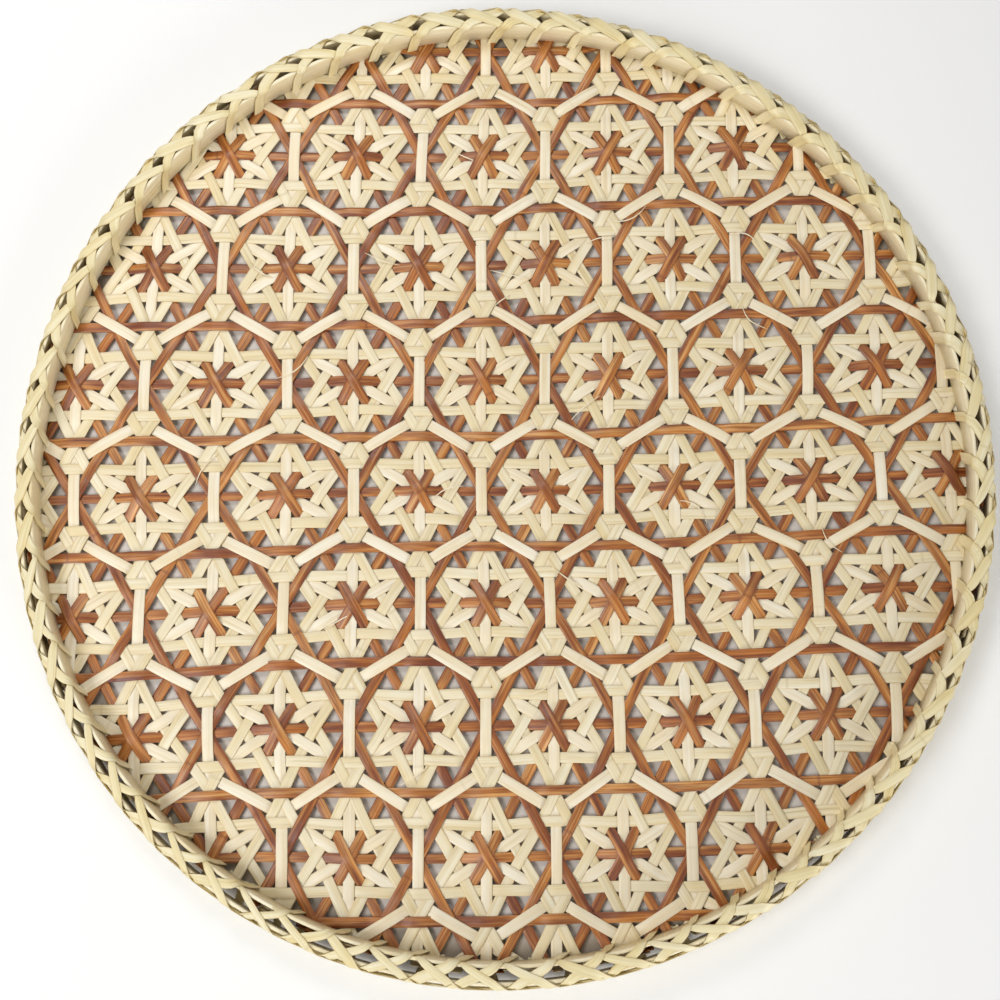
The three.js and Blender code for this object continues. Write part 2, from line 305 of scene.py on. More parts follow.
def find_crossings(strips):
    """Pairs that cross, upper strip first, with points of the patch that they share: for each, how far it
    is along the upper strip and along the lower one."""
    uppers, lowers, upper_at, lower_at = [], [], [], []
    for i, one in enumerate(strips):
        for j in range(i + 1, len(strips)):
            other = strips[j]
            turn = one.along[0] * other.along[1] - one.along[1] * other.along[0]
            if abs(turn) < SMALLEST_TURN:
                continue
            gap = other.middle - one.middle
            along_one = (gap[0] * other.along[1] - gap[1] * other.along[0]) / turn
            along_other = (gap[0] * one.along[1] - gap[1] * one.along[0]) / turn
            if abs(along_one) > one.half + PAST_END or abs(along_other) > other.half + PAST_END:
                continue
            over = goes_over(one, other, one.middle + one.along * along_one)
            top, low = (one, other) if over else (other, one)
            top_at, low_at = (along_one, along_other) if over else (along_other, along_one)
            sides = np.array([top.side, low.side])
            for a, b in PRESSING_POINTS:
                halves = np.array([a * top.width, b * low.width]) / 2 * PRESSING_SHARE
                corner = np.linalg.solve(sides, halves)
                uppers.append(i if over else j)
                lowers.append(j if over else i)
                upper_at.append(top_at + corner @ top.along)
                lower_at.append(low_at + corner @ low.along)
    return np.array(uppers), np.array(lowers), np.array(upper_at), np.array(lower_at)


# Settling: rounds with stiffness and then without, how fast a strip straightens and sinks back, and how
# far short of a strip's last step a crossing stays, so that there is always a step after it
SETTLE_ROUNDS = 260
LAST_ROUNDS = 30
PRESSES_PER_ROUND = 2
STIFFNESS = 0.32
SINKING = 0.985
LEAST_WEIGHT = 0.7
LAST_STEP_SHORT = 0.001


def settle(strips):
    """Lets the strips find their heights: each is stiff and wants to lie flat in the middle of the mat, and
    at each crossing the upper one is held a strip's thickness above the lower one."""
    starts = np.cumsum([0] + [s.count for s in strips])
    half = np.array([s.half for s in strips])
    count = np.array([s.count for s in strips])
    upper, lower, upper_at, lower_at = find_crossings(strips)

    def cell(index, at):
        position = (at + half[index]) / (2 * half[index]) * (count[index] - 1)
        position = np.clip(position, 0, count[index] - 1 - LAST_STEP_SHORT)
        whole = position.astype(int)
        return starts[index] + whole, position - whole

    top_cell, top_share = cell(upper, upper_at)
    low_cell, low_share = cell(lower, lower_at)
    height = np.zeros(starts[-1])
    inner = np.ones(starts[-1], bool)
    inner[starts[:-1]] = False
    inner[starts[1:] - 1] = False
    inner_cells = np.nonzero(inner)[0]
    for step in range(SETTLE_ROUNDS + LAST_ROUNDS):
        if step < SETTLE_ROUNDS:
            flat = (height[inner_cells - 1] + height[inner_cells + 1]) / 2
            height[inner_cells] += STIFFNESS * (flat - height[inner_cells])
            height *= SINKING
        for _ in range(PRESSES_PER_ROUND):
            top = height[top_cell] * (1 - top_share) + height[top_cell + 1] * top_share
            low = height[low_cell] * (1 - low_share) + height[low_cell + 1] * low_share
            push = np.maximum(0, STRIP_SPACING - (top - low)) / 2
            hit = push > 0
            move = np.zeros_like(height)
            weight = np.zeros_like(height)
            for cells, share, sign in ((top_cell, top_share, 1), (low_cell, low_share, -1)):
                np.add.at(move, cells[hit], sign * push[hit] * (1 - share[hit]))
                np.add.at(move, cells[hit] + 1, sign * push[hit] * share[hit])
                np.add.at(weight, cells[hit], 1 - share[hit])
                np.add.at(weight, cells[hit] + 1, share[hit])
            height += move / np.maximum(weight, LEAST_WEIGHT)
    for i, strip in enumerate(strips):
        strip.heights = height[starts[i] : starts[i + 1]]


# Materials

NOISE_ROUGHNESS = 0.55


class Nodes:
    """Short names for building a material's nodes."""

    def __init__(self, name):
        self.material = bpy.data.materials.new(name)
        self.material.use_nodes = True
        self.tree = self.material.node_tree
        self.shader = self.tree.nodes["Principled BSDF"]

    def add(self, kind, **settings):
        node = self.tree.nodes.new(kind)
        for key, value in settings.items():
            setattr(node, key, value)
        return node

    def link(self, source, target):
        self.tree.links.new(source, target)

    def math(self, operation, first, second=None):
        node = self.add("ShaderNodeMath", operation=operation)
        for socket, value in zip(node.inputs, (first, second)):
            if value is None:
                continue
            if isinstance(value, (int, float)):
                socket.default_value = value
            else:
                self.link(value, socket)
        return node.outputs[0]

    def noise(self, vector, detail):
        node = self.add("ShaderNodeTexNoise")
        node.inputs["Scale"].default_value = 1.0
        node.inputs["Detail"].default_value = detail
        node.inputs["Roughness"].default_value = NOISE_ROUGHNESS
        self.link(vector, node.inputs["Vector"])
        return node.outputs["Fac"]

    def spread(self, value, low, high, new_low, new_high):
        node = self.add("ShaderNodeMapRange")
        self.link(value, node.inputs["Value"])
        names = ("From Min", "From Max", "To Min", "To Max")
        for socket, number in zip(names, (low, high, new_low, new_high)):
            node.inputs[socket].default_value = number
        return node.outputs["Result"]

    def ramp(self, value, stops):
        node = self.add("ShaderNodeValToRGB")
        elements = node.color_ramp.elements
        while len(elements) < len(stops):
            elements.new(0.5)
        for element, (place, color) in zip(elements, stops):
            element.position = place
            element.color = color
        self.link(value, node.inputs["Fac"])
        return node.outputs["Color"]

    def mix(self, share, first, second, blend="MIX"):
        node = self.add("ShaderNodeMix", data_type="RGBA", blend_type=blend)
        sockets = (node.inputs["Factor"], node.inputs[6], node.inputs[7])
        for socket, value in zip(sockets, (share, first, second)):
            if isinstance(value, tuple):
                socket.default_value = value
            else:
                self.link(value, socket)
        return node.outputs[2]

    def combine(self, *values):
        node = self.add("ShaderNodeCombineXYZ")
        for socket, value in zip(node.inputs, values):
            self.link(value, socket)
        return node.outputs[0]

    def cells(self, *pairs):
        """A place for a noise: pairs of a value and how many cells it has in a metre or in a width."""
        return self.combine(*(self.math("MULTIPLY", value, number) for value, number in pairs))

    def bump(self, height, strength, distance):
        node = self.add("ShaderNodeBump")
        node.inputs["Strength"].default_value = strength
        node.inputs["Distance"].default_value = distance
        self.link(height, node.inputs["Height"])
        self.link(node.outputs["Normal"], self.shader.inputs["Normal"])


# Split bamboo: how many cells its grain has across the width and in a metre along, the part of a noise
# that a change runs over, how strong each tint gets, and the dark marks of its joints
FIBRE_CELLS = (26.0, 60.0)
GROOVES_ALONG = 9.0
PATCH_CELLS = (1.4, 38.0)
TONE_SEEDS = 57.0
FIBRE_SHARE = 0.5
GRAIN_RANGE = (0.28, 0.72)
PATCH_RANGE = (0.36, 0.64)
SHINE_RANGE = (0.3, 0.7)
MIDDLE_COLOUR_AT = 0.45
TONE_TINT = 0.75
PATCH_TINT = 0.9
# Painted shade at each strip's edges: darker towards both edges, where the strips dip under the ones that
# cross them
EDGE_SHADE_BAND = (0.40, 0.5)
EDGE_SHADE_STRENGTH = 0.45
SHINIEST, DULLEST = -0.08, 0.12
GROOVE_DEPTH = 0.25 * MM
JOINTS_IN_A_METRE = 3.6
JOINT_STARTS = 5.0
JOINT_MARK = 0.0035
JOINT_DARKNESS = 0.55


def strip_material(name, dark, middle, light, tints, groove, dullness, bump):
    """Split bamboo that reads its grain along the strip: u across the width, v along it in metres. Each
    strip has its own tone. The tints darken by the strip's tone, by patches and, as a painted shade,
    towards the edges. groove is how many lengthwise grooves show across the width."""
    n = Nodes(name)
    uv = n.add("ShaderNodeUVMap", uv_map="strip")
    split = n.add("ShaderNodeSeparateXYZ")
    n.link(uv.outputs[0], split.inputs[0])
    across, along = split.outputs[0], split.outputs[1]
    tone = n.add("ShaderNodeAttribute", attribute_name="tone").outputs["Fac"]
    seed = (tone, TONE_SEEDS)
    fibre = n.noise(n.cells((across, FIBRE_CELLS[0]), (along, FIBRE_CELLS[1]), seed), 4.0)
    grooves = n.noise(n.cells((across, groove), (along, GROOVES_ALONG), seed), 2.0)
    patches = n.noise(n.cells((across, PATCH_CELLS[0]), (along, PATCH_CELLS[1]), seed), 2.0)
    fibres = n.math("MULTIPLY", fibre, FIBRE_SHARE)
    grain = n.math("ADD", fibres, n.math("MULTIPLY", grooves, 1 - FIBRE_SHARE))
    stops = [(0.0, dark), (MIDDLE_COLOUR_AT, middle), (1.0, light)]
    base = n.ramp(n.spread(grain, *GRAIN_RANGE, 0.0, 1.0), stops)
    toned = n.mix(n.spread(tone, 0.0, 1.0, 0.0, TONE_TINT), base, tints[0], "MULTIPLY")
    patched = n.mix(n.spread(patches, *PATCH_RANGE, 0.0, PATCH_TINT), toned, tints[1], "MULTIPLY")
    # Painted shade: darker towards the strip's edges, where it dips under the strips that cross it
    from_middle = n.math("ABSOLUTE", n.math("SUBTRACT", across, 0.5))
    edge_shaded = n.mix(n.spread(from_middle, *EDGE_SHADE_BAND, 0.0, EDGE_SHADE_STRENGTH), patched, tints[2], "MULTIPLY")
    joints = n.math("MULTIPLY", along, JOINTS_IN_A_METRE)
    joint = n.math("FRACT", n.math("ADD", joints, n.math("MULTIPLY", tone, JOINT_STARTS)))
    from_joint = n.math("ABSOLUTE", n.math("SUBTRACT", joint, 0.5))
    mark = n.spread(from_joint, 0.0, JOINT_MARK, JOINT_DARKNESS, 0.0)
    n.link(n.mix(mark, edge_shaded, dark), n.shader.inputs["Base Color"])
    roughness = n.spread(fibre, *SHINE_RANGE, dullness + SHINIEST, dullness + DULLEST)
    n.link(roughness, n.shader.inputs["Roughness"])
    n.bump(n.math("ADD", fibres, grooves), bump, GROOVE_DEPTH)
    return n.material


# In each finish the third tint is the painted shade at its strips' edges
CREAM_FINISH = strip_material(
    "cream_bamboo",
    dark=linear(210, 193, 152),
    middle=linear(244, 233, 203),
    light=linear(255, 248, 226),
    tints=(linear(242, 235, 217), linear(248, 240, 220), linear(220, 202, 165)),
    groove=3.2,
    dullness=0.46,
    bump=0.3,
)
WHITE_FINISH = strip_material(
    "white_bamboo",
    dark=linear(224, 208, 176),
    middle=linear(247, 237, 213),
    light=linear(255, 249, 233),
    tints=(linear(252, 246, 233), linear(248, 241, 226), linear(228, 213, 186)),
    groove=3.0,
    dullness=0.4,
    bump=0.2,
)
BROWN_FINISH = strip_material(
    "brown_bamboo",
    dark=linear(112, 50, 12),
    middle=linear(196, 124, 50),
    light=linear(255, 214, 146),
    tints=(linear(224, 196, 166), linear(150, 104, 70), linear(178, 128, 86)),
    groove=3.8,
    dullness=0.34,
    bump=0.5,
)
LACING_FINISH = strip_material(
    "lacing_bamboo",
    dark=linear(214, 198, 149),
    middle=linear(242, 232, 195),
    light=linear(252, 245, 220),
    tints=(linear(250, 243, 222), linear(246, 238, 216), linear(216, 198, 158)),
    groove=3.4,
    dullness=0.45,
    bump=0.35,
)


# Bent bamboo bands: cells of their grain in a metre level and in height, and how their patches tint
HOOP_GRAIN_CELLS = (22.0, 2600.0)
HOOP_PATCH_CELLS = (30.0, 90.0)
HOOP_GRAIN_RANGE = (0.32, 0.68)
HOOP_PATCH_RANGE = (0.35, 0.7)
HOOP_PATCH_TINT = 0.7
HOOP_DULLNESS = (0.42, 0.6)
HOOP_BUMP = 0.3
HOOP_GRAIN_DEPTH = 0.2 * MM


def hoop_material():
    """Bent bamboo band: its grain runs round the hoop, so it is drawn out along it and close in height."""
    n = Nodes("hoop_bamboo")
    place = n.add("ShaderNodeTexCoord").outputs["Object"]
    split = n.add("ShaderNodeSeparateXYZ")
    n.link(place, split.inputs[0])
    x, y, z = split.outputs
    level, upright = HOOP_GRAIN_CELLS
    grain = n.noise(n.cells((x, level), (y, level), (z, upright)), 4.0)
    level, upright = HOOP_PATCH_CELLS
    patches = n.noise(n.cells((x, level), (y, level), (z, upright)), 3.0)
    stops = [(0.0, linear(236, 220, 178)), (0.5, linear(251, 241, 208)), (1.0, linear(255, 249, 226))]
    base = n.ramp(n.spread(grain, *HOOP_GRAIN_RANGE, 0.0, 1.0), stops)
    patched = n.spread(patches, *HOOP_PATCH_RANGE, 0.0, HOOP_PATCH_TINT)
    n.link(n.mix(patched, base, linear(249, 241, 222), "MULTIPLY"), n.shader.inputs["Base Color"])
    n.link(n.spread(grain, *SHINE_RANGE, *HOOP_DULLNESS), n.shader.inputs["Roughness"])
    n.bump(grain, HOOP_BUMP, HOOP_GRAIN_DEPTH)
    return n.material


HOOP_FINISH = hoop_material()


# Making pieces

FLAT_FACE_WEIGHT = 80


def new_piece(name, bm, material, nodes):
    """A piece of the tray from a bmesh, which rides with the tray and stands for CAD nodes, if any."""
    mesh = bpy.data.meshes.new(name)
    bm.to_mesh(mesh)
    bm.free()
    piece = bpy.data.objects.new(name, mesh)
    bpy.context.scene.collection.objects.link(piece)
    mesh.materials.append(material)
    for polygon in mesh.polygons:
        polygon.use_smooth = True
    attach(piece, "root")
    if nodes:
        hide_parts(*nodes)
    return piece


def thicken(piece, thickness):
    """Gives a piece of ribbons their thickness, half to each side, and keeps their broad faces flat."""
    solid = piece.modifiers.new("thickness", "SOLIDIFY")
    solid.thickness = thickness
    solid.offset = 0.0
    normals = piece.modifiers.new("flat_faces", "WEIGHTED_NORMAL")
    normals.weight = FLAT_FACE_WEIGHT


def add_ribbon(bm, centres, sides, ups, widths, camber, tone, start, columns):
    """A flat ribbon through centres, a grid that many columns across, with its map along the strip."""
    uv = bm.loops.layers.uv.get("strip") or bm.loops.layers.uv.new("strip")
    shade = bm.verts.layers.float.get("tone") or bm.verts.layers.float.new("tone")
    rows = len(centres)
    steps = np.linalg.norm(np.diff(centres, axis=0), axis=1)
    travelled = start + np.concatenate([[0.0], np.cumsum(steps)])
    grid = bmesh.ops.create_grid(bm, x_segments=rows - 1, y_segments=columns, size=0.5)
    place = {}
    faces = set()
    for vert in grid["verts"]:
        row = round((vert.co.x + 0.5) * (rows - 1))
        column = vert.co.y + 0.5
        place[vert] = (column, travelled[row])
        across = (column - 0.5) * widths[row]
        drop = camber * (2 * column - 1) ** 2
        vert.co = Vector(centres[row] + sides[row] * across - ups[row] * drop)
        vert[shade] = tone
        faces.update(vert.link_faces)
    for face in faces:
        for loop in face.loops:
            loop[uv].uv = place[loop.vert]


ROWS_PER_WANDER = 12


def wander(rows, size):
    """A slow random wander along a strip, of about this size."""
    knots = max(3, rows // ROWS_PER_WANDER)
    values = random.normal(0, size, knots)
    return np.interp(np.linspace(0, knots - 1, rows), np.arange(knots), values)


# Where the strips turn up between the hoops: each layer stands a step further out than the last
FOLD_RADIUS = 194.95 * MM
FOLD_STEP = 0.21 * MM
FOLD_BEND = 0.8 * MM
FOLD_TURNS = (0, 30, 60, 90)
END_HEIGHTS = (10.5 * MM, 13.8 * MM)
END_SHARES = (0.35, 0.7, 1.0)
END_TAPER = 0.2
STEEPEST_SLANT = 0.45

# A laid strip: how far past its mat length it is worked out, its wander and its width's, the longest cut
# back from the rim, the fewest rows that make a strip, and how far along its grain it may start in metres
LAID_PAST_END = 9 * MM
SIDEWAYS_WANDER = 0.14 * MM
WIDTH_WANDER = 0.02
LONGEST_CUT = 8 * MM
LEAST_CUT_SLANT = 0.1
FEWEST_ROWS = 12
FURTHEST_START = 0.7


def fold_up(point, heading, height, width, radius, sign):
    """The end of a strip that meets the rim at a point: rows that turn up between the two hoops, each a
    centre, a side, an up and a width."""
    outward = np.array([*point, 0.0]) / np.linalg.norm(point)
    around = np.array([-outward[1], outward[0], 0.0])
    if around[:2] @ np.array([-heading[1], heading[0]]) * sign < 0:
        around = -around
    slant = max(abs(heading @ outward[:2]), STEEPEST_SLANT)
    top = random.uniform(*END_HEIGHTS)
    rows = []
    for turn in FOLD_TURNS:
        out, up = math.sin(math.radians(turn)), 1 - math.cos(math.radians(turn))
        centre = outward * (radius - FOLD_BEND * (1 - out)) + np.array([0, 0, height + FOLD_BEND * up])
        normal = np.array([0, 0, 1.0]) * (1 - up) - outward * out
        rows.append((centre, around, normal, width / slant))
    for share in END_SHARES:
        rise = height + FOLD_BEND + (top - height - FOLD_BEND) * share
        centre = outward * radius + np.array([0, 0, rise])
        rows.append((centre, around, -outward, width / slant * (1 - END_TAPER * share)))
    return rows


def lay_strip(strip, radius):
    """The rows of a strip as it lies in the mat, cut at the rim and turned up there at both ends."""
    reach = strip.half + LAID_PAST_END
    at = np.linspace(-reach, reach, int(2 * reach / STRIP_STEP) + 1)
    sideways = wander(len(at), SIDEWAYS_WANDER)
    straight = strip.middle + np.outer(at, strip.along)
    if strip.kind == "cream":
        sideways = sideways + cream_sway(straight, strip.direction)
    flat = as_woven(straight + np.outer(sideways, strip.side))
    settled = np.interp(at, np.linspace(-strip.half, strip.half, strip.count), strip.heights)
    heights = settled + MAT_MIDDLE + star_dome(straight)
    headings = np.gradient(flat, axis=0)
    headings /= np.linalg.norm(headings, axis=1)[:, None]
    sides = np.column_stack([-headings[:, 1], headings[:, 0], np.zeros(len(at))])
    rise = np.gradient(heights, at)
    ups = np.column_stack([-rise[:, None] * headings, np.ones(len(at))])
    ups /= np.linalg.norm(ups, axis=1)[:, None]
    widths = strip.width * (1 + wander(len(at), WIDTH_WANDER))
    edge = np.array([radius * hoop_share(math.atan2(y, x)) for x, y in flat]) - FOLD_BEND
    inside = np.nonzero(np.linalg.norm(flat, axis=1) < edge)[0]
    if len(inside) < FEWEST_ROWS:
        return None
    first, last = inside[0], inside[-1]
    ends = []
    for here, sign in ((first, -1), (last, 1)):
        point, heading = flat[here], headings[here] * sign
        slant = abs(heading @ point) / np.linalg.norm(point)
        back = strip.width / 2 * math.sqrt(max(0, 1 - slant**2)) / max(slant, LEAST_CUT_SLANT)
        cut = int(min(back, LONGEST_CUT) / STRIP_STEP) + 1
        rim = radius * hoop_share(math.atan2(point[1], point[0]))
        ends.append((cut, fold_up(point, heading, heights[here], widths[here], rim, sign)))
    keep = range(first + ends[0][0], last + 1 - ends[1][0])
    rows = list(reversed(ends[0][1]))
    rows += [(np.array([*flat[k], heights[k]]), sides[k], ups[k], widths[k]) for k in keep]
    return rows + ends[1][1]


def make_mat_piece(name, strips, radius, material, nodes):
    """The strips of one kind and direction, which turn up at this radius between the hoops."""
    bm = bmesh.new()
    for strip in strips:
        rows = lay_strip(strip, radius)
        if rows:
            centres, sides, ups, widths = (np.array(column) for column in zip(*rows))
            start = strip.tone * FURTHEST_START
            add_ribbon(bm, centres, sides, ups, widths, STRIP_CAMBER, strip.tone, start, STRIP_COLUMNS)
    thicken(new_piece(name, bm, material, nodes), STRIP_THICKNESS)


# Each kind's material, slot and CAD nodes. The cream strips are a node each, lettered by direction.
KIND_LOOKS = {
    "cream": (CREAM_FINISH, "cream_bamboo", None),
    "white": (WHITE_FINISH, "white_bamboo", ["white_strips"]),
    "star": (BROWN_FINISH, "brown_bamboo", ["brown_star_strips"]),
    "ring": (BROWN_FINISH, "brown_bamboo", ["brown_ring_strips"]),
}
CREAM_LETTERS = {0: "a", 60: "b", 120: "c"}


def make_mat():
    strips = make_strips()
    settle(strips)
    radius = FOLD_RADIUS
    for kind, facts in KINDS.items():
        material, slot, nodes = KIND_LOOKS[kind]
        for direction in facts["directions"]:
            radius += FOLD_STEP
            chosen = [s for s in strips if s.kind == kind and s.direction == direction]
            if kind == "cream":
                start = f"cream_strip_{CREAM_LETTERS[direction]}"
                nodes = sorted(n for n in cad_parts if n.startswith(start))
            make_mat_piece(f"{kind}_strips_{direction}", chosen, radius, material, nodes)


# Splinters that have lifted off the strips: where each starts and ends in the tray, in millimetres
SPLINTERS = (
    (35, 100, 49, 103), (-4, 72, 3, 77), (12, 84, -6, 88), (62, 118, 44, 110),
    (-60, 96, -44, 90), (-96, 40, -82, 51), (28, 22, 41, 33), (-30, -12, -16, -6),
    (84, -22, 70, -12), (-74, -66, -60, -58), (6, -92, 22, -86), (112, 62, 101, 74),
    (-128, -6, -118, 8), (58, -110, 74, -102), (140, -34, 131, -22), (-22, 142, -8, 136),
    (-110, 92, -98, 84), (96, 104, 110, 98), (-42, -128, -30, -120), (20, -40, 33, -49),
)
SPLINTER_ROWS = 15
SPLINTER_WIDTH = 0.5 * MM
SPLINTER_END_SHARE = 0.35
SPLINTER_THICKNESS = 0.12 * MM
SPLINTER_RISE = 1.7 * MM
SPLINTER_BLUNTNESS = 0.6
LARGEST_BOW = 0.22


def make_splinters():
    """Thin curved fibres over the weave, with both ends tucked down between the strips."""
    bm = bmesh.new()
    share = np.linspace(0, 1, SPLINTER_ROWS)
    arch = np.sin(share * math.pi)
    for splinter in SPLINTERS:
        start, end = np.array(splinter[:2]) * MM, np.array(splinter[2:]) * MM
        length = np.linalg.norm(end - start)
        heading = (end - start) / length
        side = np.array([-heading[1], heading[0]])
        bow = random.uniform(-LARGEST_BOW, LARGEST_BOW) * length
        flat = start + np.outer(share, end - start) + np.outer(arch * bow, side)
        rise = MAT_MIDDLE + SPLINTER_RISE * arch**SPLINTER_BLUNTNESS
        sides = np.tile([*side, 0.0], (len(share), 1))
        ups = np.tile([0.0, 0.0, 1.0], (len(share), 1))
        widths = SPLINTER_WIDTH * (SPLINTER_END_SHARE + (1 - SPLINTER_END_SHARE) * arch)
        add_ribbon(bm, np.column_stack([flat, rise]), sides, ups, widths, 0.0, random.random(), 0.0, 1)
    thicken(new_piece("splinters", bm, WHITE_FINISH, []), SPLINTER_THICKNESS)


# Rim: two bent hoops with the mat's edge between them, and two runs of lacing round both

RIM_OUTER = 199.4 * MM
RIM_INNER = 193.2 * MM
RIM_WIDTH = RIM_OUTER - RIM_INNER
RIM_TOP = 14.8 * MM
RIM_BOTTOM = 1.45 * MM
RIM_CORNER = 1.2 * MM
RIM_FLARE = 1.6 * MM
HOOP_THICKNESS = 1.5 * MM
HOOP_SOFTNESS = 0.5 * MM
HOOP_STEPS = 240
SAME_POINT = 0.01 * MM
INNER_HOOP_BOTTOM = 3.3 * MM

# The hand-bent hoops' and the lacing's shape round the tray: waves in a turn, and their cosine and sine
# parts. The first is a share of the radius, the second a width.
HOOP_OVAL = ((2, -0.0071, -0.0006), (3, 0.0008, -0.0016))
MEAN_SWELL = 0.8 * MM
RIM_SWELL = (
    (1, -0.07 * MM, -0.5 * MM),
    (2, -0.62 * MM, 0.16 * MM),
    (3, 0.75 * MM, 0.26 * MM),
    (4, 0.09 * MM, 0.21 * MM),
)


def hoop_share(angle):
    """How far out the hand-bent hoops stand at an angle, as a share of the true circle."""
    return 1 + sum(a * math.cos(n * angle) + b * math.sin(n * angle) for n, a, b in HOOP_OVAL)


def rim_swell(angle):
    """How much wider the lacing makes the rim at an angle."""
    return MEAN_SWELL + sum(a * math.cos(n * angle) + b * math.sin(n * angle) for n, a, b in RIM_SWELL)


def flared(radius, height, swell):
    """Pushes the rim's section out towards its outer side, and most of all at its lower edge."""
    low = (RIM_TOP - height) / (RIM_TOP - RIM_BOTTOM)
    return radius + (swell + RIM_FLARE * low) * (radius - RIM_INNER) / RIM_WIDTH


def make_hoop(name, inner, bottom, node):
    """A bent band, as its section cut across, softened at the top and spun round the tray."""
    bm = bmesh.new()
    bmesh.ops.create_grid(bm, x_segments=1, y_segments=1, size=0.5)
    for vert in bm.verts:
        height = bottom + (vert.co.y + 0.5) * (RIM_TOP - bottom)
        radius = flared(inner, height, 0.0) + (vert.co.x + 0.5) * HOOP_THICKNESS
        vert.co = Vector((radius, 0, height))
    top_corners = [v for v in bm.verts if v.co.z > RIM_TOP - SAME_POINT]
    bmesh.ops.bevel(
        bm, geom=top_corners, affect="VERTICES", offset=HOOP_SOFTNESS, segments=3, profile=0.5, material=-1
    )
    bmesh.ops.delete(bm, geom=bm.faces[:], context="FACES_ONLY")
    bmesh.ops.spin(
        bm,
        geom=bm.verts[:] + bm.edges[:],
        cent=(0, 0, 0),
        axis=(0, 0, 1),
        angle=math.tau,
        steps=HOOP_STEPS,
        use_merge=True,
    )
    bmesh.ops.remove_doubles(bm, verts=bm.verts[:], dist=SAME_POINT)
    for vert in bm.verts:
        angle = math.atan2(vert.co.y, vert.co.x)
        swell = rim_swell(angle) * (inner - RIM_INNER) / RIM_WIDTH
        vert.co.xy *= hoop_share(angle) * (1 + swell / inner)
    bmesh.ops.recalc_face_normals(bm, faces=bm.faces[:])
    new_piece(name, bm, HOOP_FINISH, [node])


# How far round the rim's section each part of it ends. The lacing leaves a little of the wall's foot free.
LACING_END_LEFT = 1.6 * MM
BEND = RIM_CORNER * math.pi / 2
UNDER_END = RIM_WIDTH - RIM_CORNER
SIDE_START = UNDER_END + BEND
SIDE_END = SIDE_START + RIM_TOP - RIM_BOTTOM - 2 * RIM_CORNER
TOP_START = SIDE_END + BEND
TOP_END = TOP_START + RIM_WIDTH - 2 * RIM_CORNER
INSIDE_START = TOP_END + BEND
INSIDE_END = INSIDE_START + RIM_TOP - RIM_CORNER - LACING_END_LEFT


def rim_section(run):
    """A point on the rim's outline cut across, a run from the inner lower edge, under, up the outside, over
    the top and down the inside: its radius and height, and which way out is."""
    if run < UNDER_END:
        return RIM_INNER + run, RIM_BOTTOM, 0.0, -1.0
    if run < SIDE_START:
        turn = (run - UNDER_END) / RIM_CORNER
        out, up = math.sin(turn), -math.cos(turn)
        return RIM_OUTER + RIM_CORNER * (out - 1), RIM_BOTTOM + RIM_CORNER * (up + 1), out, up
    if run < SIDE_END:
        return RIM_OUTER, RIM_BOTTOM + RIM_CORNER + run - SIDE_START, 1.0, 0.0
    if run < TOP_START:
        turn = (run - SIDE_END) / RIM_CORNER
        out, up = math.cos(turn), math.sin(turn)
        return RIM_OUTER + RIM_CORNER * (out - 1), RIM_TOP + RIM_CORNER * (up - 1), out, up
    if run < TOP_END:
        return RIM_OUTER - RIM_CORNER - (run - TOP_START), RIM_TOP, 0.0, 1.0
    if run < INSIDE_START:
        turn = (run - TOP_END) / RIM_CORNER
        out, up = -math.sin(turn), math.cos(turn)
        return RIM_INNER + RIM_CORNER * (out + 1), RIM_TOP + RIM_CORNER * (up - 1), out, up
    return RIM_INNER, RIM_TOP - RIM_CORNER - (run - INSIDE_START), -1.0, 0.0


# Lacing: how thick and wide, how much wider on one side of the tray (an angle clockwise from its far
# side), and how far a strand stands off the hoops below and above the other strand
STITCHES = 68
LACING_ROWS = 64
LACING_COLUMNS = 2
LACING_THICKNESS = 0.36 * MM
LACING_CAMBER = 0.05 * MM
LACING_WIDTH = 3.9 * MM
LACING_WIDER = 0.16
WIDEST_LACING_AT = 0.55
LACING_LOW = 0.25 * MM
LACING_HIGH = 0.68 * MM
TURN_ROUNDS = 6
LIFT_ROUNDS = 4

# How far the stitches stray: along the rim and in wobble in stitches, in reach and width as shares, and
# off the rim in metres, of which a share shows on top of the rim and under it
SLIP_STRAY = 0.06
WOBBLE = 0.02
STRETCH_STRAY = 0.05
LACING_WIDTH_STRAY = 0.1
RISE_STRAY = 0.06 * MM
TOP_RISE_SHARE = 0.5

# Each run of lacing, one stitch: how far round the rim's section, stitches clockwise, stand-off and width
MIDDLE_OF_TOP = (TOP_START + TOP_END) / 2
LACING_FORWARD = (
    (0.0, -1.75, LACING_HIGH, 1.0),
    (UNDER_END, -1.55, LACING_HIGH, 1.0),
    (SIDE_START, -1.45, LACING_HIGH, 1.0),
    (SIDE_END, -0.12, LACING_HIGH, 1.0),
    (TOP_START, 0.22, LACING_HIGH, 1.0),
    (MIDDLE_OF_TOP, 0.50, LACING_HIGH, 1.0),
    (TOP_END, 0.78, (LACING_HIGH + LACING_LOW) / 2, 0.95),
    (INSIDE_START - 0.35 * BEND, 0.98, LACING_LOW, 0.5),
)
LACING_BACK = (
    (0.0, 3.35, LACING_LOW, 1.0),
    (UNDER_END, 3.2, LACING_LOW, 1.0),
    (SIDE_START, 3.1, LACING_LOW, 1.0),
    (SIDE_END, 1.93, LACING_LOW, 1.0),
    (TOP_START, 1.62, LACING_LOW, 1.0),
    (MIDDLE_OF_TOP, 1.36, LACING_LOW, 1.0),
    (TOP_END, 1.06, LACING_HIGH, 0.95),
    (INSIDE_START, 0.92, LACING_HIGH, 1.0),
    (INSIDE_START + 2.5 * MM, 0.85, LACING_HIGH * 0.7, 1.05),
    (INSIDE_END, 0.66, LACING_HIGH + 0.5 * MM, 0.95),
)


def smoothed(values, rounds):
    """Values with their bends eased, the two ends kept."""
    for _ in range(rounds):
        values[1:-1] = (values[:-2] + 2 * values[1:-1] + values[2:]) / 4
    return values


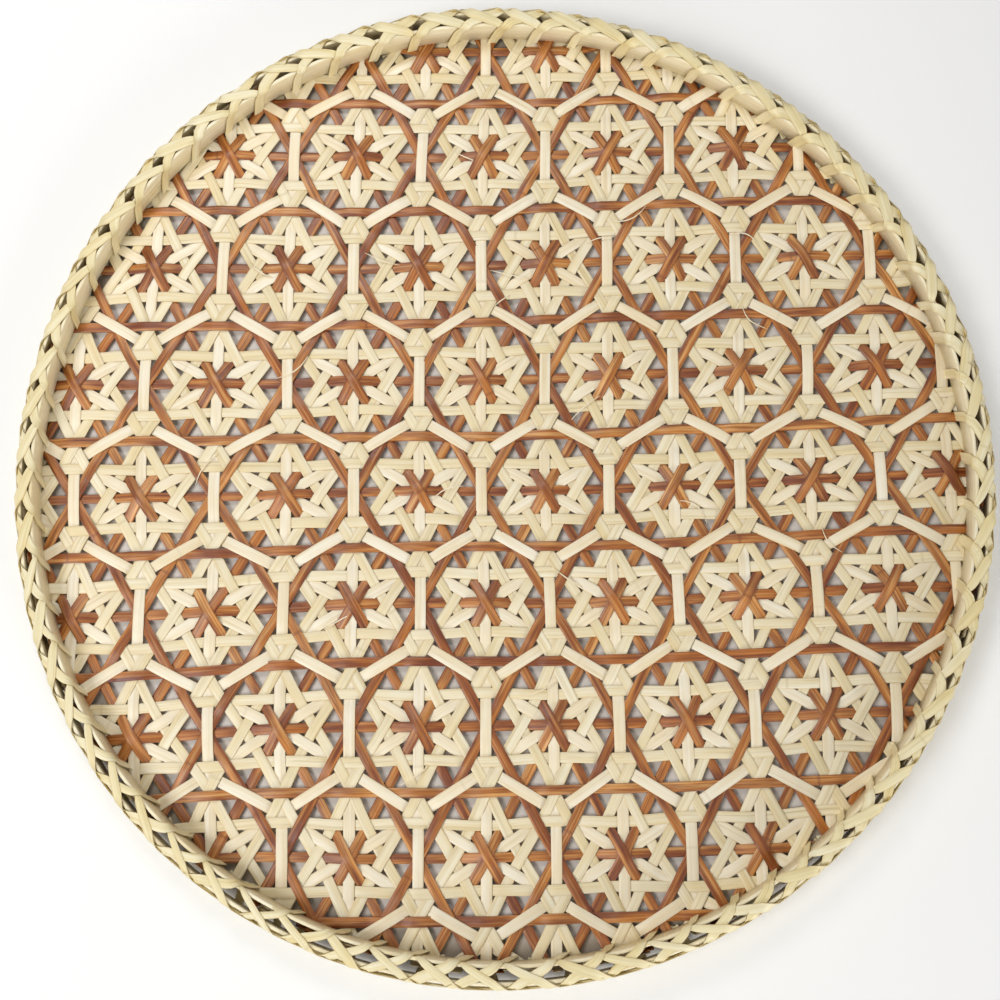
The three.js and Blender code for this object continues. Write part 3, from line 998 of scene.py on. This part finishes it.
def make_lacing(name, stitch, node):
    """One run of lacing, stitch by stitch round the rim."""
    bm = bmesh.new()
    runs, turns, lifts, widths = (np.array(column) for column in zip(*stitch))
    run = np.linspace(runs[0], runs[-1], LACING_ROWS)
    turn = smoothed(np.interp(run, runs, turns), TURN_ROUNDS)
    lift = smoothed(np.interp(run, runs, lifts), LIFT_ROUNDS)
    breadth = smoothed(np.interp(run, runs, widths), LIFT_ROUNDS)
    pitch = math.tau / STITCHES
    for k in range(STITCHES):
        slip = random.normal(0, SLIP_STRAY)
        stretch = 1 + random.normal(0, STRETCH_STRAY)
        rise = abs(random.normal(0, RISE_STRAY))
        wider = LACING_WIDER * math.cos(pitch * k - WIDEST_LACING_AT)
        width = LACING_WIDTH * (1 + random.normal(0, LACING_WIDTH_STRAY) + wider)
        wobble = wander(LACING_ROWS, WOBBLE)
        centres, normals = [], []
        for row in range(LACING_ROWS):
            angle = math.pi / 2 - pitch * (k + slip + wobble[row] + turn[row] * stretch)
            radius, height, out, up = rim_section(run[row])
            radius = flared(radius, height, rim_swell(angle)) * hoop_share(angle) + out * (lift[row] + rise)
            height += up * (lift[row] + rise * TOP_RISE_SHARE)
            outward = (math.cos(angle), math.sin(angle))
            centres.append((radius * outward[0], radius * outward[1], height))
            normals.append((out * outward[0], out * outward[1], up))
        centres, normals = np.array(centres), np.array(normals)
        ahead = np.gradient(centres, axis=0)
        sides = np.cross(normals, ahead)
        sides /= np.linalg.norm(sides, axis=1)[:, None]
        ups = np.cross(ahead, sides)
        ups /= np.linalg.norm(ups, axis=1)[:, None]
        tone, start = random.random(), random.random()
        add_ribbon(bm, centres, sides, ups, breadth * width, LACING_CAMBER, tone, start, LACING_COLUMNS)
    thicken(new_piece(name, bm, LACING_FINISH, [node]), LACING_THICKNESS)


def make_rim():
    make_hoop("outer_hoop_band", RIM_OUTER - HOOP_THICKNESS, RIM_BOTTOM, "outer_hoop")
    make_hoop("inner_hoop_band", RIM_INNER, INNER_HOOP_BOTTOM, "inner_hoop")
    make_lacing("lacing_forward", LACING_FORWARD, "rim_lacing_over")
    make_lacing("lacing_back", LACING_BACK, "rim_lacing_under")


# Floor, light and camera

WHITE = (1.0, 1.0, 1.0, 1.0)

# The floor is pale, and tinted where the tray covers it, as the photograph shows through the weave. It
# glows a little for the camera alone, near the tray and far off, so that it reads as white paper.
OPEN_FLOOR = (0.84, 0.835, 0.82, 1.0)
UNDER_MAT = (0.80, 0.735, 0.665, 1.0)
# Under the rim the floor is a dark painted shade, standing for the shadow seen through the rim's openings
RIM_SHADE_FLOOR = (0.40, 0.335, 0.255, 1.0)
RIM_SHADE_BAND = (180 * MM, 192 * MM)
TRAY_EDGE_BAND = (197 * MM, 202 * MM)
FAR_BAND = (350 * MM, 1300 * MM)
FLOOR_SIZE = 4.0
FLOOR_LIFT = 0.16
FAR_LIFT = 0.5
FLOOR_ROUGHNESS = 0.9
ROOM_LIGHT = 0.305


def seen_directly(tree):
    """1 where the eye sees the room itself, also as a reflection, and 0 for the light that it sheds."""
    path = tree.nodes.new("ShaderNodeLightPath")
    value = path.outputs["Is Camera Ray"]
    for name in ("Is Glossy Ray", "Is Transmission Ray"):
        most = tree.nodes.new("ShaderNodeMath")
        most.operation = "MAXIMUM"
        tree.links.new(value, most.inputs[0])
        tree.links.new(path.outputs[name], most.inputs[1])
        value = most.outputs[0]
    return value


def make_floor():
    bm = bmesh.new()
    bmesh.ops.create_grid(bm, x_segments=1, y_segments=1, size=FLOOR_SIZE)
    mesh = bpy.data.meshes.new("floor")
    bm.to_mesh(mesh)
    bm.free()
    floor = bpy.data.objects.new("floor", mesh)
    bpy.context.scene.collection.objects.link(floor)
    n = Nodes("floor")
    place = n.add("ShaderNodeTexCoord").outputs["Object"]
    length = n.add("ShaderNodeVectorMath", operation="LENGTH")
    n.link(place, length.inputs[0])
    reach = length.outputs["Value"]
    open_share = n.spread(reach, *TRAY_EDGE_BAND, 0.0, 1.0)
    # A warm grey under the mat, turning to the painted shade under the rim
    covered = n.mix(n.spread(reach, *RIM_SHADE_BAND, 0.0, 1.0), UNDER_MAT, RIM_SHADE_FLOOR)
    n.link(n.mix(open_share, covered, OPEN_FLOOR), n.shader.inputs["Base Color"])
    far_lift = n.spread(reach, *FAR_BAND, 0.0, FAR_LIFT)
    lift = n.math("ADD", n.math("MULTIPLY", open_share, FLOOR_LIFT), far_lift)
    n.shader.inputs["Emission Color"].default_value = WHITE
    n.link(n.math("MULTIPLY", seen_directly(n.tree), lift), n.shader.inputs["Emission Strength"])
    n.shader.inputs["Roughness"].default_value = FLOOR_ROUGHNESS
    mesh.materials.append(n.material)


# Lamps: place, size and power
LAMPS = (
    ("window", (-0.62, -0.36, 0.86), 0.50, 5.4),
    ("overhead", (-0.20, 0.38, 0.52), 0.25, 1.15),
    ("fill", (0.80, -1.30, 0.48), 0.60, 10.5),
)


def make_light():
    """A soft white room that sheds little light itself, and the lamps, which the camera doesn't see."""
    world = bpy.data.worlds.new("soft_room")
    world.use_nodes = True
    background = world.node_tree.nodes["Background"]
    background.inputs["Color"].default_value = WHITE
    seen = seen_directly(world.node_tree)
    strength = world.node_tree.nodes.new("ShaderNodeMapRange")
    strength.inputs["To Min"].default_value = ROOM_LIGHT
    strength.inputs["To Max"].default_value = 1.0
    world.node_tree.links.new(seen, strength.inputs["Value"])
    world.node_tree.links.new(strength.outputs["Result"], background.inputs["Strength"])
    bpy.context.scene.world = world
    for name, place, size, power in LAMPS:
        lamp = bpy.data.lights.new(name, "AREA")
        lamp.shape = "DISK"
        lamp.size = size
        lamp.energy = power
        holder = bpy.data.objects.new(name, lamp)
        holder.location = place
        holder.rotation_euler = (-Vector(place)).to_track_quat("-Z", "Y").to_euler()
        holder.visible_camera = False
        bpy.context.scene.collection.objects.link(holder)


def make_camera():
    camera = bpy.data.cameras.new("camera")
    camera.sensor_width = CAMERA_SENSOR
    camera.lens = CAMERA_LENS
    camera.clip_start, camera.clip_end = CAMERA_REACH
    holder = bpy.data.objects.new("camera", camera)
    holder.location = CAMERA_PLACE
    holder.rotation_euler = [math.radians(angle) for angle in CAMERA_TILT]
    bpy.context.scene.collection.objects.link(holder)
    bpy.context.scene.camera = holder


make_camera()
make_mat()
make_rim()
make_splinters()
make_floor()
make_light()

bpy.context.scene.view_settings.view_transform = "Standard"
